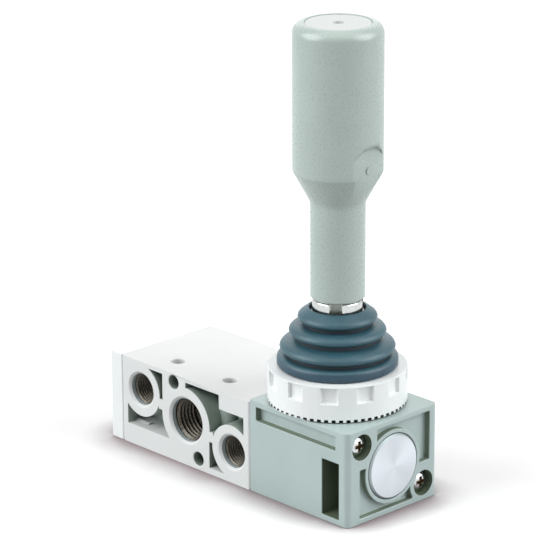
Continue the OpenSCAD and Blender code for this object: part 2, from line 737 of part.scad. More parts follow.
module plug_side_spring() color("silver") coil_spring(spring_seat, plug_tip);
module block_side_spring() color("silver") coil_spring(joint_x, -spring_seat);

// Lever hub: pivot barrel, socket for the rod and finger with its ball
socket_top = neck_top + 1;
bush_r = pin_r + pin_clear + bush_wall;
neck_finger = 1.45;
socket_floor = pivot_z + bush_r + 0.5;

module lever_hub() {
    color("slategray") difference() {
        union() {
            bar_y(-hub_half, hub_half, hub_r, 0, pivot_z);
            intersection() {
                translate([0, 0, pivot_z]) cylinder(r = socket_r, h = socket_top - pivot_z);
                union() {
                    translate([-socket_r, -hub_half, pivot_z])
                        cube([2 * socket_r, 2 * hub_half, socket_top - pivot_z]);
                    translate([0, 0, well_rim + holder_t + 1]) cylinder(r = socket_r, h = socket_top);
                }
            }
            translate([0, 0, spool_z]) cylinder(r = neck_finger, h = pivot_z - spool_z);
            translate([0, 0, pivot_z - hub_r - 1]) cylinder(r1 = neck_finger, r2 = 3, h = 2);
            translate([0, 0, spool_z]) sphere(ball_r);
        }
        translate([0, 0, socket_floor]) cylinder(r = rod_r + fit, h = socket_top);
        bar_y(-block_w, block_w, bush_r + slip, 0, pivot_z);
    }
}

module pivot_bushes() {
    color("peru") for (s = [0, 1]) mirror([0, s, 0]) difference() {
        union() {
            bar_y(0.6, hub_half, bush_r, 0, pivot_z);
            bar_y(hub_half + slip, hub_half + 0.75, bush_r + 1, 0, pivot_z);
            bar_y(hub_half - cut, hub_half + 0.5, bush_r, 0, pivot_z);
        }
        bar_y(-cut, hub_half + 2 * cut, pin_r + pin_clear, 0, pivot_z);
    }
}

insert_l = 12;
rod_top = grip_z + insert_l + 2;
shoulder_t = 1.2;

module lever_rod() {
    color("silver") union() {
        translate([0, 0, socket_floor + 0.2]) cylinder(r = rod_r, h = rod_top - socket_floor - 0.2);
        translate([0, 0, cup_z - washer_t - floor_t - shoulder_t - 0.1])
            cylinder(r = rod_r + 2, h = shoulder_t);
    }
}

module rod_washer() {
    color("silver") translate([0, 0, cup_z - washer_t + 0.1]) linear_extrude(washer_t - 0.1) difference() {
        circle(cup_r - 0.3);
        circle(rod_r + fit);
    }
}

module lock_nut() {
    edge = 0.4;
    bore = rod_r + fit;
    color("silver") translate([0, 0, cup_z]) difference() {
        rotate_extrude() polygon([[bore, 0], [nut_r - edge, 0], [nut_r, edge], [nut_r, nut_t - edge],
                                  [nut_r - edge, nut_t], [bore, nut_t]]);
        for (i = [0:nut_slots - 1])
            rotate(nut_turn + i * 360 / nut_slots) translate([nut_r - nut_slot_depth, -nut_slot_w / 2, -cut])
                cube([nut_slot_depth + cut, nut_slot_w, nut_t + 2 * cut]);
    }
}

// Grip, outline in the r-z plane
cone_z = grip_z + stem_l;
barrel_z = cone_z + cone_l;
crown_z = barrel_z + barrel_l - crown_r;
grip_top = barrel_z + barrel_l;
cap_seat_r = barrel_r - crown_r - 0.35;       // radius of the opening for the grip's cap
grip_cap_t = 2.4;
insert_r = rod_r + 1.9;
pip_r = 1;                                    // pip in the middle of the spot face
cap_hole_r = 1.55;                            // blind hole in the grip's cap
cap_hole_depth = 1.35;

module grip() {
    inner_r = barrel_r - barrel_wall;
    cap_floor = grip_top - grip_cap_t;
    foot_r = rod_r + 0.4;
    edge = 0.4;
    crown = [for (k = [0:6]) let (a = k * 15)
        [barrel_r - crown_r + crown_r * cos(a), crown_z + crown_r * sin(a)]];
    outside = concat([[foot_r, grip_z], [stem_r - edge, grip_z], [stem_r, grip_z + edge], [stem_r, cone_z],
                      [barrel_r, barrel_z]], crown, [[cap_seat_r, grip_top]]);
    inside = [[cap_seat_r, cap_floor], [cap_seat_r - 1.2, cap_floor], [inner_r, cap_floor - 2.4],
              [inner_r, barrel_z + 1], [stem_r - 2.4, cone_z + 2], [foot_r, cone_z]];
    color("darkseagreen") difference() {
        rotate_extrude() polygon(concat(outside, inside));
        translate([0, 0, grip_z - cut]) cylinder(r = insert_r + slip, h = insert_l + cut);
        rotate(spot_turn) translate([spot_reach, 0, barrel_z + spot_rise]) to_x() difference() {
            cylinder(r = spot_r, h = barrel_r);
            translate([0, 0, -cut]) cylinder(r = pip_r, h = cut + 0.35);
        }
    }
}

module grip_insert() {
    color("goldenrod") translate([0, 0, grip_z + 0.1]) linear_extrude(insert_l - 0.1) difference() {
        circle(insert_r);
        circle(rod_r + fit);
    }
}

module grip_cap() {
    color("darkseagreen") difference() {
        translate([0, 0, grip_top - grip_cap_t]) cylinder(r = cap_seat_r - 0.1, h = grip_cap_t - 0.15);
        translate([0, 0, grip_top - 0.15 - cap_hole_depth])
            cylinder(r = cap_hole_r, h = cap_hole_depth + cut);
    }
}

// Spool with two waists, a spring flange and a threaded end
spool_end = far_x + 0.6;
waist_half = half_pitch / 2 - seal_w / 2 - shut_overlap;
spigot_r = 1.6;
spigot_in = 4.8;                 // distance of the threaded ends from the lever's axis
yoke_half = 4.6;                 // half width of the yoke
yoke_boss = 3;
yoke_end = spring_seat - flange_t - 0.05;

module spool() {
    color("lightgray") difference() {
        union() {
            bar_x(spool_end, -spring_seat, spool_r);
            bar_x(-spring_seat - slip, -spring_seat + flange_t, flange_r);
            bar_x(-spring_seat, -spigot_in, spigot_r);
        }
        for (x = wide_back) ring_x(x - waist_half, x + waist_half, spool_r + cut, waist_r);
    }
}

module guide_screw() {
    color("lightgray") union() {
        bar_x(spigot_in, spring_seat, spigot_r);
        bar_x(spring_seat - flange_t, spring_seat, flange_r);
        bar_x(spring_seat - slip, plug_tip - stroke - 0.3, yoke_boss);
    }
}

module spool_yoke() {
    half = ball_r + ball_clear + 1.7;
    slot = ball_r + ball_clear;
    color("silver") difference() {
        union() {
            bar_x(-yoke_end, yoke_end, yoke_boss);
            translate([-half, -yoke_half, spool_z - yoke_half])
                cube([2 * half, 2 * yoke_half, yoke_half + 3]);
        }
        translate([-slot, -ball_r - 0.5, spool_z - ball_r - 0.4]) cube([2 * slot, 2 * ball_r + 1, block_h]);
        bar_x(-yoke_end - cut, yoke_end + cut, spigot_r + fit);
    }
}

valve_block();
end_cap();
end_cap_seal();
end_cap_screws();
spool_spacers();
spool_seals();
seal_retainer();
lever_housing();
housing_seal();
housing_screws();
end_plug();
end_plug_seal();
pivot_holder();
holder_circlip();
pivot_pin();
ring_nut();
bellows();
plug_side_spring();
block_side_spring();
lever_hub();
pivot_bushes();
lever_rod();
rod_washer();
lock_nut();
grip();
grip_insert();
grip_cap();
spool();
spool_yoke();
guide_screw();
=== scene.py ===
import math

import bmesh
import bpy
from mathutils import Matrix, Vector


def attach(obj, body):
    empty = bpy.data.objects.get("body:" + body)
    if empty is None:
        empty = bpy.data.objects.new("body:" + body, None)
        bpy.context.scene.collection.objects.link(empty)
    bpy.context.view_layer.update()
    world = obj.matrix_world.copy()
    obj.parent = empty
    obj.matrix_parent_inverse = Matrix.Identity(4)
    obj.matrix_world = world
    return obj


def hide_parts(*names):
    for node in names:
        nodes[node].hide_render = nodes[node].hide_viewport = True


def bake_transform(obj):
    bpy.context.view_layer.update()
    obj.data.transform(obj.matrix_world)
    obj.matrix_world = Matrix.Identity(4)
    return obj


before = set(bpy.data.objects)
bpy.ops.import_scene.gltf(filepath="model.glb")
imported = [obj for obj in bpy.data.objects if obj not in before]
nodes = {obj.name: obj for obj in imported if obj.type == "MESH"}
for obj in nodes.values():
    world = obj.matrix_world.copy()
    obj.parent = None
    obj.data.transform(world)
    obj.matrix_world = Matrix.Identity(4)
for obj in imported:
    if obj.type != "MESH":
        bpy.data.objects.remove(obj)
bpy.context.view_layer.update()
mm = 0.001
print("hand valve: frame loaded,", len(nodes), "nodes")


# colours and shader nodes
def linearColour(hexCode):
    channels = [int(hexCode[i:i + 2], 16) / 255 for i in (1, 3, 5)]
    return [c / 12.92 if c <= 0.04045 else ((c + 0.055) / 1.055) ** 2.4 for c in channels] + [1.0]


def addNode(tree, kind, settings=None, links=None):
    node = tree.nodes.new(kind)
    for name, value in (settings or {}).items():
        if isinstance(name, int) or name in node.inputs:
            node.inputs[name].default_value = value
        else:
            setattr(node, name, value)
    for name, source in (links or {}).items():
        tree.links.new(source, node.inputs[name])
    return node


def newMaterial(name, settings):
    material = bpy.data.materials.new(name)
    material.use_nodes = True
    tree = material.node_tree
    shader = tree.nodes["Principled BSDF"]
    for key, value in settings.items():
        shader.inputs[key].default_value = value
    place = addNode(tree, "ShaderNodeTexCoord").outputs["Object"]
    return material, tree, shader, place


def noiseAt(tree, place, sizeMm, detail=2.0, stretch=(1, 1, 1)):
    stretched = addNode(tree, "ShaderNodeMapping", {"Scale": stretch}, {"Vector": place})
    grain = {"Scale": 1 / (sizeMm * mm), "Detail": detail, "Roughness": 0.55}
    return addNode(tree, "ShaderNodeTexNoise", grain, {"Vector": stretched.outputs["Vector"]}).outputs["Fac"]


def ramped(tree, source, low, high, colours):
    ramp = addNode(tree, "ShaderNodeValToRGB", {}, {"Fac": source})
    ramp.color_ramp.elements[0].position, ramp.color_ramp.elements[1].position = low, high
    ramp.color_ramp.elements[0].color, ramp.color_ramp.elements[1].color = colours
    return ramp.outputs["Color"]


# a noise keeps to the middle of its range, which is spread here from low to high
def rangeOf(tree, noise, low, high):
    spread = {"From Min": 0.3, "From Max": 0.7, "To Min": low, "To Max": high}
    return addNode(tree, "ShaderNodeMapRange", spread, {"Value": noise}).outputs["Result"]


def bumped(tree, shader, height, depthMm):
    bump = addNode(tree, "ShaderNodeBump", {"Distance": depthMm * mm, "Strength": 1.0}, {"Height": height})
    tree.links.new(bump.outputs["Normal"], shader.inputs["Normal"])


# how open a spot is: 0 deep in a recess, 1 on an outer face
def opennessAt(tree, reachMm):
    return addNode(tree, "ShaderNodeAmbientOcclusion", {"samples": 8, "Distance": reachMm * mm}).outputs["AO"]


def mixedColour(tree, factor, low, high):
    mix = addNode(tree, "ShaderNodeMix", {"data_type": "RGBA"}, {"Factor": factor})
    for socket, source in ((mix.inputs[6], low), (mix.inputs[7], high)):
        if isinstance(source, list):
            socket.default_value = source
        else:
            tree.links.new(source, socket)
    return mix.outputs[2]


# painted shade: a darker tone where little light reaches a recess
def paintedRecessShade(tree, colour, look):
    if "recess" not in look:
        return colour
    spread = {"From Min": look["recessFrom"], "From Max": look["recessTo"]}
    light = addNode(tree, "ShaderNodeMapRange", spread, {"Value": opennessAt(tree, look["recessMm"])})
    return mixedColour(tree, light.outputs["Result"], linearColour(look["recess"]), colour)


# the finish's two tones, spread over a noise from low to high, and its painted shade in recesses
def toned(tree, shader, noise, low, high, look):
    colour = ramped(tree, noise, low, high, (linearColour(look["shade"]), linearColour(look["colour"])))
    tree.links.new(paintedRecessShade(tree, colour, look), shader.inputs["Base Color"])


# roughness that is a little lower and higher along a noise, which also raises the surface
def roughened(tree, shader, noise, roughness, lower, higher, depthMm):
    tree.links.new(rangeOf(tree, noise, roughness - lower, roughness + higher), shader.inputs["Roughness"])
    bumped(tree, shader, noise, depthMm)


# moulded plastic: even colour with a faint cloudiness and spark-eroded grain that softens the highlights
def mouldedPlastic(name, look):
    material, tree, shader, place = newMaterial(name, {"IOR": look["ior"], "Specular IOR Level": look["gloss"]})
    toned(tree, shader, noiseAt(tree, place, look["cloudMm"], 3), 0.35, 0.65, look)
    grain = noiseAt(tree, place, look["grainMm"])
    roughened(tree, shader, grain, look["roughness"], 0.06, 0.06, look["grainDepthMm"])
    return material


# metal: even base with fine tool or drawing marks along one direction
def workedMetal(name, look):
    material, tree, shader, place = newMaterial(name, {"Metallic": 1.0})
    marks = noiseAt(tree, place, look["markMm"], 3, look.get("stretch", (1, 1, 1)))
    toned(tree, shader, marks, 0.3, 0.7, look)
    roughened(tree, shader, marks, look["roughness"], 0.05, 0.08, look["markDepthMm"])
    return material


# synthetic rubber: dull, soft shine on the folds, a little bloom in its colour
def mouldedRubber(name, look):
    material, tree, shader, place = newMaterial(name, {"IOR": 1.52, "Sheen Weight": look["sheen"],
                                                       "Sheen Roughness": 0.4})
    toned(tree, shader, noiseAt(tree, place, look["bloomMm"], 4), 0.3, 0.7, look)
    grain = noiseAt(tree, place, look["grainMm"])
    roughened(tree, shader, grain, look["roughness"], 0.08, 0.08, look["grainDepthMm"])
    return material


# moulded parts: their real grain is about 0.1 mm wide, and is drawn 0.4 to 0.6 mm wide to show
plasticLooks = {
    # block: a dull, even white, with grey-green painted shade deep in its corners
    "white PBT, moulded": {"colour": "#ECEDEC", "shade": "#E9EAE9", "cloudMm": 15, "grainMm": 0.5,
                           "grainDepthMm": 0.006, "roughness": 0.45, "ior": 1.5, "gloss": 0.2, "recess": "#66726B",
                           "recessMm": 5.0, "recessFrom": 0.08, "recessTo": 0.3},
    # pockets between the ribs: painted shade, greyer for the less light on them and darker still deeper in
    "white PBT, pocket wall, painted shade": {"colour": "#AFBBB3", "shade": "#A9B5AD", "cloudMm": 15, "grainMm": 0.5,
                               "grainDepthMm": 0.006, "roughness": 0.55, "ior": 1.5, "gloss": 0.35,
                               "recess": "#3C473F", "recessMm": 7.0, "recessFrom": 0.05, "recessTo": 0.4},
    # the smooth ring behind each port's rim: painted shade, bluish grey
    "white PBT, port mouth, painted shade": {"colour": "#BFCBCD", "shade": "#B8C5C7", "cloudMm": 15, "grainMm": 0.5,
                              "grainDepthMm": 0.006, "roughness": 0.5, "ior": 1.5, "gloss": 0.4,
                              "recess": "#8C9DA0", "recessMm": 3.0, "recessFrom": 0.1, "recessTo": 0.5},
    # ring nut and end cap: the brightest white, a lighter copy of the block's white as painted light, with soft
    # highlights
    "white PBT, ring nut": {"colour": "#FBFDFD", "shade": "#F8FAFA", "cloudMm": 15, "grainMm": 0.5,
                            "grainDepthMm": 0.004, "roughness": 0.36, "ior": 1.5, "gloss": 0.5},
    # painted shade in the gaps of the notched edge: they read as dark dashes
    "white PBT, notch in shade": {"colour": "#3A403A", "shade": "#343A34", "cloudMm": 15, "grainMm": 0.5,
                                  "grainDepthMm": 0.004, "roughness": 0.6, "ior": 1.5, "gloss": 0.3},
    # housing: pale green-grey with a clear, soft shine, and painted shade in its hollows
    "grey PBT, moulded": {"colour": "#B4C4C2", "shade": "#AFC0BD", "cloudMm": 12, "grainMm": 0.5,
                          "grainDepthMm": 0.008, "roughness": 0.42, "ior": 1.5, "gloss": 0.85, "recess": "#4A554C",
                          "recessMm": 3.0, "recessFrom": 0.05, "recessTo": 0.38},
    # walls of the shallow hollows and the long groove: painted shade, olive grey
    "grey PBT, recess wall, painted shade": {"colour": "#808C7D", "shade": "#7A8677", "cloudMm": 12, "grainMm": 0.5,
                              "grainDepthMm": 0.008, "roughness": 0.55, "ior": 1.5, "gloss": 0.4},
    # window and counterbores: painted shade, the darkest grey
    "grey PBT, deep recess, painted shade": {"colour": "#66725F", "shade": "#5F6B59", "cloudMm": 12, "grainMm": 0.5,
                              "grainDepthMm": 0.008, "roughness": 0.6, "ior": 1.5, "gloss": 0.4},
    # the disc on top of the grip: lighter than the grip, partly its own tone and partly a painted highlight from
    # above
    "grey PBT, grip cap": {"colour": "#D2D6D4", "shade": "#CDD2CF", "cloudMm": 18, "grainMm": 0.6,
                           "grainDepthMm": 0.006, "roughness": 0.4, "ior": 1.5, "gloss": 0.5},
    # grip: satin, so its shine stands in broad upright bands
    "grey PBT, grip": {"colour": "#B3C1BB", "shade": "#AEBCB6", "cloudMm": 18, "grainMm": 0.6,
                       "grainDepthMm": 0.006, "roughness": 0.3, "ior": 1.5, "gloss": 0.9},
    # spacers, seen only down the ports: nearly black and matt, a dark that also serves as painted shade deep in the
    # ports
    "acetal spacer": {"colour": "#4A4844", "shade": "#43423F", "cloudMm": 4, "grainMm": 0.4,
                      "grainDepthMm": 0.004, "roughness": 0.5, "ior": 1.48, "gloss": 0.5},
}
# metal parts: their real tool marks are under 0.1 mm wide, and are drawn 0.25 to 0.9 mm wide to show
metalLooks = {
    # screws and pins: bright, a little blurred
    "zinc plated steel": {"colour": "#D9DADB", "shade": "#BFC1C3", "markMm": 0.8, "markDepthMm": 0.004,
                          "roughness": 0.2},
    # lock nut: nearly a mirror
    "nickel plated nut": {"colour": "#D6D8D6", "shade": "#C2C4C2", "markMm": 0.9, "markDepthMm": 0.003,
                          "roughness": 0.16},
    # pale metal with fine lathe marks around it
    "turned aluminium": {"colour": "#E3E5E8", "shade": "#D5D8DC", "markMm": 0.5, "markDepthMm": 0.003,
                         "roughness": 0.3, "stretch": (8, 1, 1)},
    # bores: brownish with bright crests, darkened by painted shade towards the roots and the deep end
    "cut thread in die-cast metal": {"colour": "#625E56", "shade": "#37342F", "markMm": 0.6,
                                     "markDepthMm": 0.01, "roughness": 0.36, "recess": "#1B1916",
                                     "recessMm": 8.0, "recessFrom": 0.05, "recessTo": 0.4},
    # dull, cool grey with a cast skin
    "die-cast zinc": {"colour": "#9A9D9E", "shade": "#868A8B", "markMm": 0.7, "markDepthMm": 0.01,
                      "roughness": 0.45},
    # smooth grey wire with a soft glint
    "drawn spring wire": {"colour": "#B9BBBD", "shade": "#97999B", "markMm": 0.3, "markDepthMm": 0.002,
                          "roughness": 0.28},
    # warm and matt, from its pores
    "sintered bronze": {"colour": "#B98A5A", "shade": "#9A7048", "markMm": 0.25, "markDepthMm": 0.01,
                        "roughness": 0.42},
    # yellow, clean from the lathe
    "turned brass": {"colour": "#D8B968", "shade": "#C2A355", "markMm": 0.5, "markDepthMm": 0.003,
                     "roughness": 0.25},
    # the cross in a screw's head: painted shade, brown
    "screw recess, painted shade": {"colour": "#8A7350", "shade": "#4A3C28", "markMm": 0.4, "markDepthMm": 0.01,
                          "roughness": 0.5},
    # slots of the lock nut: painted shade, grey beside its bright flanks
    "nickel plated slot, painted shade": {"colour": "#8C918C", "shade": "#737873", "markMm": 0.5, "markDepthMm": 0.004,
                           "roughness": 0.4},
    # the plug's rim: painted shade, a dull grey line around the bright face
    "turned bevel, painted shade": {"colour": "#9FA9AB", "shade": "#8F999B", "markMm": 0.4, "markDepthMm": 0.004,
                            "roughness": 0.5},
}
# rubber parts: their mould's grain of about 0.1 mm is drawn 0.3 to 0.5 mm wide to show
rubberLooks = {
    # folds: deep blue-grey with a soft shine on each edge, and painted shade in the creases
    "blue-grey rubber bellows": {"colour": "#335C69", "shade": "#2D525D", "bloomMm": 6, "grainMm": 0.5,
                                 "grainDepthMm": 0.006, "roughness": 0.4, "sheen": 0.04, "recess": "#0B161B",
                                 "recessMm": 3.0, "recessFrom": 0.1, "recessTo": 0.5},
    # walls under the folds: painted shade, nearly black
    "blue-grey rubber, painted shade under a fold": {"colour": "#0D212B", "shade": "#0A1A22", "bloomMm": 6, "grainMm": 0.5,
                                       "grainDepthMm": 0.006, "roughness": 0.6, "sheen": 0.0},
    # the lowest wall, above the ring nut: painted shade, darker and bluer
    "blue-grey rubber, skirt, painted shade": {"colour": "#27485A", "shade": "#213F4E", "bloomMm": 6, "grainMm": 0.5,
                                "grainDepthMm": 0.006, "roughness": 0.45, "sheen": 0.03},
    # seals: matt black
    "black sealing rubber": {"colour": "#242424", "shade": "#1C1C1C", "bloomMm": 3, "grainMm": 0.3,
                             "grainDepthMm": 0.004, "roughness": 0.5, "sheen": 0.05},
}
finish = {}
for make, looks in ((mouldedPlastic, plasticLooks), (workedMetal, metalLooks), (mouldedRubber, rubberLooks)):
    for name, look in looks.items():
        finish[name] = make(name, look)


# the end plug's face: turned from the middle outwards, so its shine spreads in faint sectors, which are also
# painted into its colour as a painted reflection
def facedAluminium(name, look):
    material, tree, shader, place = newMaterial(name, {"Metallic": 1.0, "Roughness": look["roughness"],
                                                       "Anisotropic": look["anisotropic"]})
    centred = addNode(tree, "ShaderNodeMapping", {"Location": (0, 0, -look["middleZ"] * mm)}, {"Vector": place})
    split = addNode(tree, "ShaderNodeSeparateXYZ", {}, {"Vector": centred.outputs["Vector"]})
    y, z = split.outputs["Y"], split.outputs["Z"]
    flat = addNode(tree, "ShaderNodeCombineXYZ", {}, {"X": y, "Y": z})
    radius = addNode(tree, "ShaderNodeVectorMath", {"operation": "LENGTH"}, {0: flat.outputs["Vector"]})
    feedMarks = {"noise_dimensions": "1D", "Scale": 1 / (look["feedMm"] * mm), "Detail": 2.0}
    rings = addNode(tree, "ShaderNodeTexNoise", feedMarks, {"W": radius.outputs["Value"]})
    # painted reflection: the colour runs between its two tones in sectors around the face
    angle = addNode(tree, "ShaderNodeMath", {"operation": "ARCTAN2"}, {0: z, 1: y})
    times = addNode(tree, "ShaderNodeMath", {"operation": "MULTIPLY", 1: look["sectors"]},
                    {0: angle.outputs["Value"]})
    wave = addNode(tree, "ShaderNodeMath", {"operation": "SINE"}, {0: times.outputs["Value"]})
    level = addNode(tree, "ShaderNodeMapRange", {"From Min": -1.0, "From Max": 1.0},
                    {"Value": wave.outputs["Value"]})
    toned(tree, shader, level.outputs["Result"], 0.0, 1.0, look)
    tangent = addNode(tree, "ShaderNodeTangent", {"direction_type": "RADIAL", "axis": "X"})
    tree.links.new(tangent.outputs["Tangent"], shader.inputs["Tangent"])
    bumped(tree, shader, rings.outputs["Fac"], look["feedDepthMm"])
    return material


# bright, with rings left by the tool at each 0.25 mm of feed, and its sectors of painted reflection
plugLook = {"colour": "#D3D8DE", "shade": "#C9CED4", "roughness": 0.34, "anisotropic": 0.4, "feedMm": 0.25,
            "feedDepthMm": 0.002, "sectors": 3.0, "middleZ": 13.85}
finish["faced aluminium"] = facedAluminium("faced aluminium", plugLook)
print("hand valve: finishes made,", len(finish))

# nodes that keep their own shape
nodeFinish = {
    "end_cap_seal": "black sealing rubber", "spool_seals": "black sealing rubber",
    "housing_seal": "black sealing rubber", "end_plug_seal": "black sealing rubber",
    "spool_spacers": "acetal spacer", "seal_retainer": "turned aluminium", "spool": "turned aluminium",
    "pivot_holder": "die-cast zinc", "lever_hub": "die-cast zinc", "holder_circlip": "zinc plated steel",
    "pivot_pin": "zinc plated steel", "lever_rod": "zinc plated steel", "rod_washer": "zinc plated steel",
    "spool_yoke": "zinc plated steel", "guide_screw": "zinc plated steel", "grip_insert": "turned brass",
    "pivot_bushes": "sintered bronze",
}
for nodeName, finishName in nodeFinish.items():
    slots = nodes[nodeName].data.materials
    slots.clear()
    slots.append(finish[finishName])


# making and finishing pieces
def placePiece(bm, pieceName, bodyName, finishNames, smoothAngle=32):
    mesh = bpy.data.meshes.new(pieceName)
    for face in bm.faces:
        face.smooth = True
    for edge in bm.edges:
        edge.smooth = len(edge.link_faces) == 2 and edge.calc_face_angle(0) < math.radians(smoothAngle)
    bm.to_mesh(mesh)
    bm.free()
    for finishName in finishNames:
        mesh.materials.append(finish[finishName])
    piece = bpy.data.objects.new(pieceName, mesh)
    bpy.context.scene.collection.objects.link(piece)
    if bodyName:
        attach(piece, bodyName)
    return piece


# a CAD node's mesh is loose triangles, so a copy of it is merged first
def mergedCopy(nodeName, nearMm):
    bm = bmesh.new()
    bm.from_mesh(nodes[nodeName].data)
    bmesh.ops.remove_doubles(bm, verts=bm.verts, dist=nearMm * mm)
    return bm


# such a copy with its flat faces joined up and its edges rounded
def softenedMesh(nodeName, edgeRound, staysSharp):
    bm = mergedCopy(nodeName, 0.003)
    bmesh.ops.dissolve_limit(bm, angle_limit=math.radians(0.5), verts=bm.verts, edges=bm.edges)
    sharp = [e for e in bm.edges if len(e.link_faces) == 2 and e.calc_face_angle(0) > math.radians(40)]
    if staysSharp:
        sharp = [e for e in sharp if not any(staysSharp(f.calc_center_median(), f.normal) for f in e.link_faces)]
    bmesh.ops.bevel(bm, geom=sharp, offset=edgeRound * mm, offset_type="OFFSET", affect="EDGES", segments=2,
                    profile=0.5, material=-1, clamp_overlap=False, loop_slide=True)
    bmesh.ops.remove_doubles(bm, verts=bm.verts, dist=0.002 * mm)
    return bm


# where the screws sit, along X and as (y, z)
screwLook = {
    "housing": {"radius": 1.97, "head": 2.8, "height": 2.3, "seat": 18.8, "tip": -24.8, "way": 1,
                "places": ((-12.35, 22.9), (12.35, 5.3))},
    "cap": {"radius": 1.47, "head": 2.75, "height": 1.9, "seat": -75.2, "tip": -65.8, "way": -1,
            "places": ((-14.2, 3.8), (14.2, 23.3))},
}

# bodies that keep their node's shape, with edges rounded by so many mm and a finish for each kind of face, the
# finishes after the first mostly painted shade
softened = {
    "valve_block": {"piece": "block_body", "body": "valve", "slot": "white_plastic",
                    "finish": ["white PBT, moulded", "cut thread in die-cast metal", "white PBT, pocket wall, painted shade",
                               "white PBT, port mouth, painted shade"],
                    "edgeRound": 0.15},
    "end_cap": {"piece": "cap_body", "body": "valve", "slot": "white_plastic",
                "finish": ["white PBT, ring nut"], "edgeRound": 0.3},
    "ring_nut": {"piece": "ring_nut_body", "body": "valve", "slot": "white_plastic",
                 "finish": ["white PBT, ring nut", "white PBT, notch in shade"], "edgeRound": 0.25},
    "lever_housing": {"piece": "housing_body", "body": "valve", "slot": "grey_plastic",
                      "finish": ["grey PBT, moulded", "grey PBT, deep recess, painted shade", "grey PBT, recess wall, painted shade"],
                      "edgeRound": 0.28},
    "grip_cap": {"piece": "grip_cap_body", "body": "lever", "slot": "grey_plastic",
                 "finish": ["grey PBT, grip cap"], "edgeRound": 0.12},
    "lock_nut": {"piece": "lock_nut_body", "body": "lever", "slot": "plated_steel",
                 "finish": ["nickel plated nut", "nickel plated slot, painted shade"], "edgeRound": 0.15, "turn": -5.3},
}

# each port's bore, and the middle of its mouth
ports = {
    "supply_thread": ("wide", -44.3, -18.0, 13.85), "exhaust_thread_far": ("slim", -63.8, -18.0, 18.15),
    "exhaust_thread_near": ("slim", -24.8, -18.0, 9.55), "outlet_thread_far": ("wide", -54.05, 18.0, 13.85),
    "outlet_thread_near": ("wide", -34.55, 18.0, 13.85),
}


# the functions below choose a face's finish, and so where faces get painted shade, or whether its rim stays crisp,
# by its middle and its direction
def within(limits, spot):
    return all(low < spot[key] < high for key, (low, high) in limits.items())


blockShape = {
    "inside": {"x": (-72.0, -17.6), "z": (0.2, 26.9)},      # clear of the outer faces' rounded edges
    "rim": 17.8, "core": 9.0, "pocketMouth": 17.0,      # how far out of the middle, along Y
    "lowFloor": 8.0,        # floors under this height catch the light
    "boreReach": {"wide": 6.7, "slim": 5.0}, "countersink": 0.9, "countersinkFrom": 17.0,
    "ringFrom": 17.2, "mouthFrom": 16.0, "outerFace": 17.95,
    "holeReach": 2.3, "holeRim": 17.7, "crossHoles": ((-49.5, 24.35), (-39.1, 3.35)),
    "uprightHoles": ((-56.25, -9.85), (-33.95, -9.85)),
}


def blockWall(point, normal):
    x, y, z = point / mm
    return abs(normal.y) < 0.5 and abs(y) < blockShape["rim"] and within(blockShape["inside"], {"x": x, "z": z})


# painted shade: port mouths, cross holes and pocket walls and floors get greyer whites, and bore walls the threads'
# dark metal
def blockFinish(point, normal):
    x, y, z = point / mm
    out = abs(y)
    sunk = blockShape["countersink"] if out > blockShape["countersinkFrom"] else 0.0
    for size, px, py, pz in ports.values():
        inBore = math.hypot(x - px, z - pz) < blockShape["boreReach"][size] + sunk
        if y * py > 0 and inBore and out < blockShape["outerFace"]:
            return 0 if out > blockShape["ringFrom"] else 3 if out > blockShape["mouthFrom"] else 1
    reach = blockShape["holeReach"]
    inCrossHole = any(math.hypot(x - hx, z - hz) < reach for hx, hz in blockShape["crossHoles"])
    if inCrossHole and out < blockShape["holeRim"]:
        return 2
    if any(math.hypot(x - hx, y - hy) < reach for hx, hy in blockShape["uprightHoles"]):
        return 0
    if out <= blockShape["core"] or (normal.z > 0.8 and z < blockShape["lowFloor"]):
        return 0
    deep = out < blockShape["pocketMouth"] and within(blockShape["inside"], {"x": x, "z": z})
    return 2 if deep or blockWall(point, normal) else 0


nutShape = {"slotFloor": 6.4}


# painted shade: faces inside the slot floor's reach get the slot's grey
def nutFinish(point, normal):
    return int(math.hypot(point.x, point.y) < nutShape["slotFloor"] * mm)


# painted shade: the notches are darker, on their sides and on their roof
ringShape = {"notch": {"reach": (16.5, 19.72), "z": (-1.0, 29.05)}, "roof": 28.9}


def ringFinish(point, normal):
    x, y, z = point / mm
    notched = within(ringShape["notch"], {"reach": math.hypot(x, y), "z": z})
    return int(notched and (abs(normal.z) < 0.6 or z > ringShape["roof"]))


# "high" counts from the spool's axis, upwards on the front and downwards on the back, and "out" from the middle
housingShape = {
    "axis": 13.85, "counterboreFloor": 17.5, "counterboreReach": 3.9, "endFace": 21.8,
    "window": {"x": (11.6, 18.8), "high": (-12.4, 4.8), "out": (8.6, 16.6)},
    "groove": {"x": (-14.9, 17.4), "high": (8.1, 12.6), "out": (15.9, 17.9)},
    "endHollow": {"x": (20.2, 21.8), "y": (-16, 16), "z": (1.2, 26.8)},
}


def counterboreWall(point, normal):
    x, y, z = point / mm
    return x > housingShape["counterboreFloor"] and any(
        math.hypot(y - sy, z - sz) < housingShape["counterboreReach"] for sy, sz in screwLook["housing"]["places"])


# painted shade: the window and counterbores get the darkest grey, and walls of the groove and of the end's hollows
# olive grey
def housingFinish(point, normal):
    x, y, z = point / mm
    high = z - housingShape["axis"] if y < 0 else housingShape["axis"] - z
    spot = {"x": x, "y": y, "z": z, "high": high, "out": abs(y)}
    if within(housingShape["window"], spot) or (x < housingShape["endFace"] and counterboreWall(point, normal)):
        return 1
    if within(housingShape["groove"], spot):
        return 2 if abs(normal.y) < 0.5 else 0
    return 2 if abs(normal.x) < 0.5 and within(housingShape["endHollow"], spot) else 0


